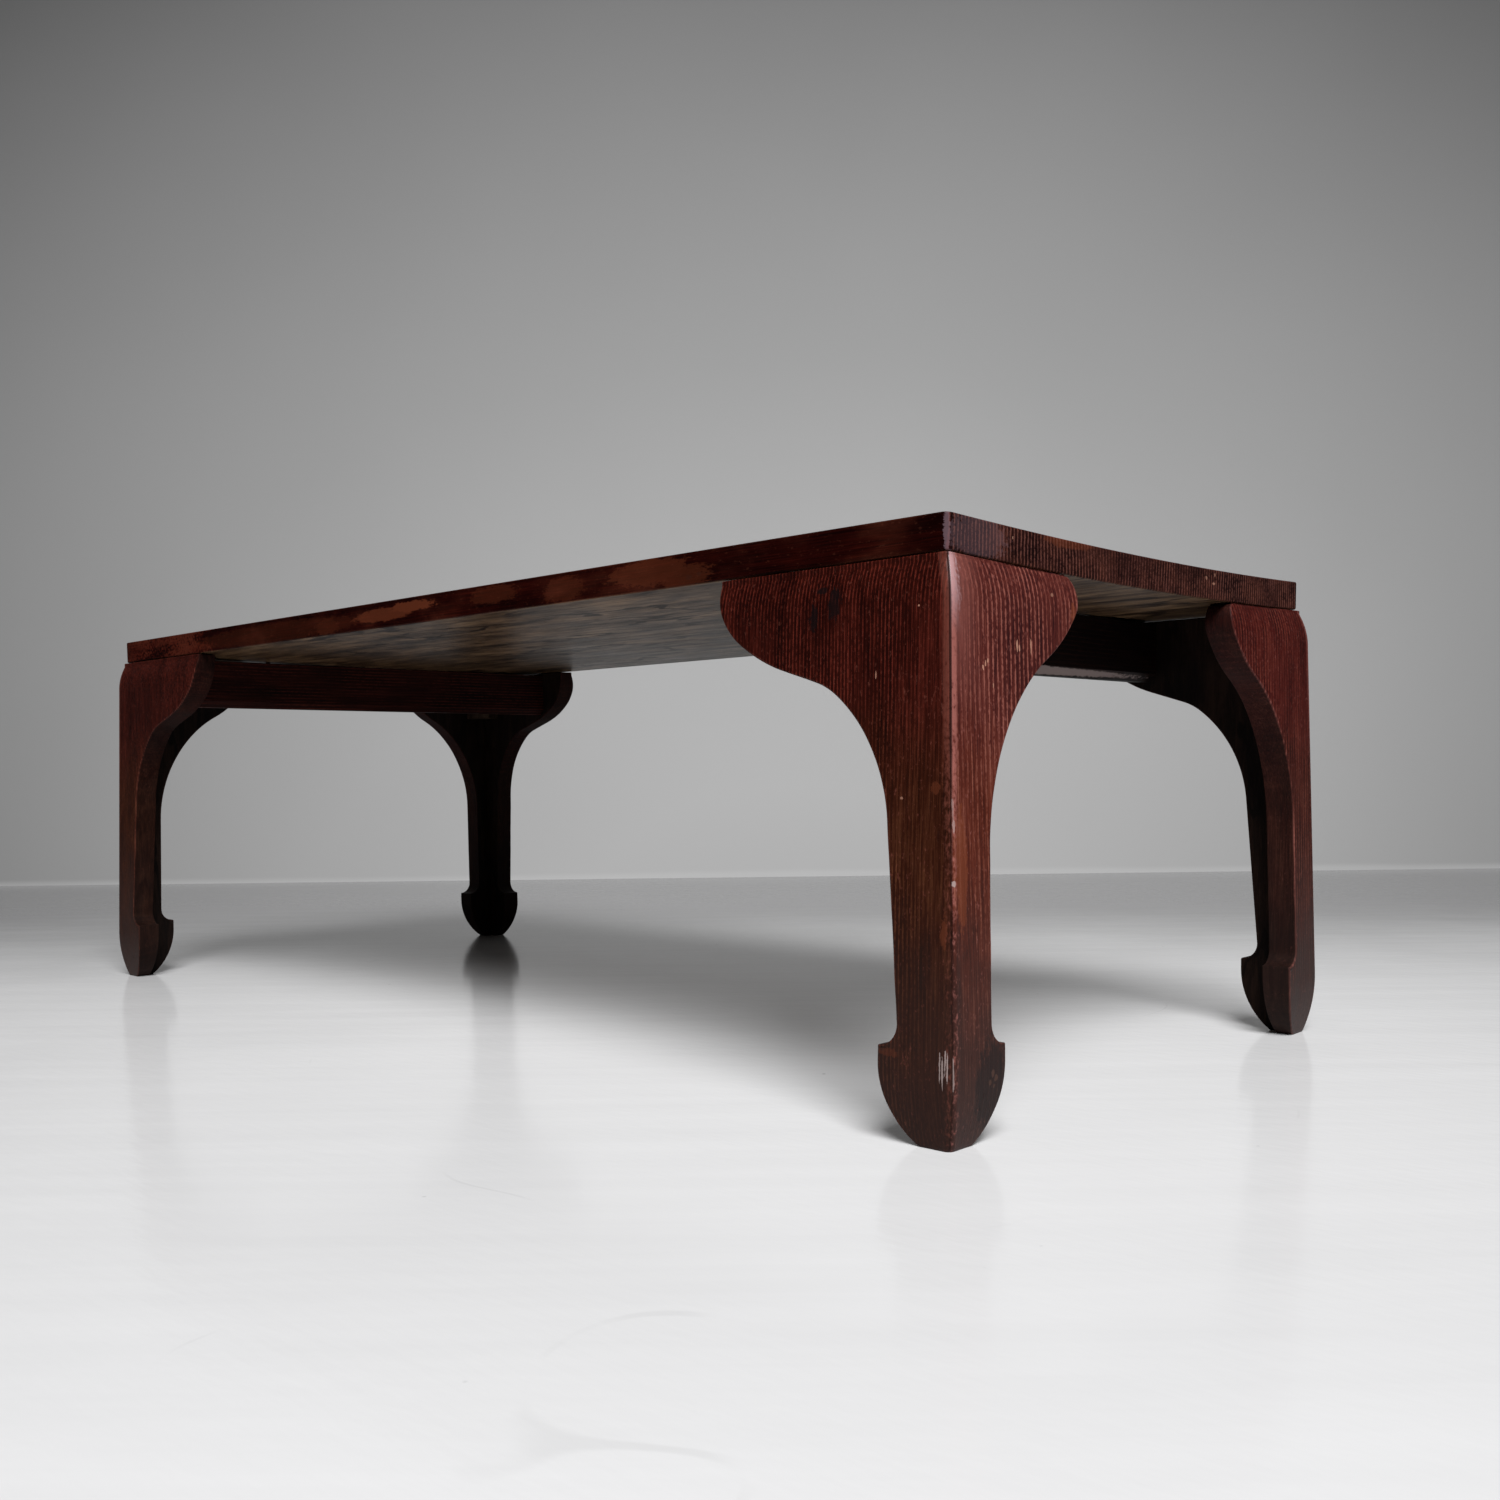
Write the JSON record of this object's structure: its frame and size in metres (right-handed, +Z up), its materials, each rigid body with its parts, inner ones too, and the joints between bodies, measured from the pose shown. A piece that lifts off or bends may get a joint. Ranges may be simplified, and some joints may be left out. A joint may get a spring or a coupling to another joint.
{
  "type": "kang table",
  "caption": "Low rectangular kang table: thin plank top on splayed corner legs of mitred boards with scrolled brackets and turned-in hoof feet, a cross rail under each end.",
  "frame": {"origin": "on the floor under the middle of the top", "axes": "+Z up, X along the length with +X to the right, -Y is the front long side"},
  "size_m": [1.0138, 0.4728, 0.3335],
  "materials": {
    "top_wood": "worn dark stain, satin",
    "leg_wood": "dark red-brown stain worn pale on the edges, satin",
    "rail_wood": "brown stain, matte",
    "hidden_wood": "raw, matte",
    "steel": "dull, aged"
  },
  "bodies": {
    "root": {"top_front_board": "top_wood", "top_back_board": "top_wood", "top_loose_tongue": "hidden_wood", "left_cross_rail": "rail_wood", "right_cross_rail": "rail_wood", "front_right_leg_side_board": "leg_wood", "back_right_leg_side_board": "leg_wood", "front_left_leg_side_board": "leg_wood", "back_left_leg_side_board": "leg_wood", "front_right_leg_end_board": "leg_wood", "back_right_leg_end_board": "leg_wood", "front_left_leg_end_board": "leg_wood", "back_left_leg_end_board": "leg_wood", "front_right_mitre_spline": "hidden_wood", "back_right_mitre_spline": "hidden_wood", "front_left_mitre_spline": "hidden_wood", "back_left_mitre_spline": "hidden_wood", "front_right_glue_block": "hidden_wood", "back_right_glue_block": "hidden_wood", "front_left_glue_block": "hidden_wood", "back_left_glue_block": "hidden_wood", "rail_screws": "steel"}
  },
  "joints": []
}
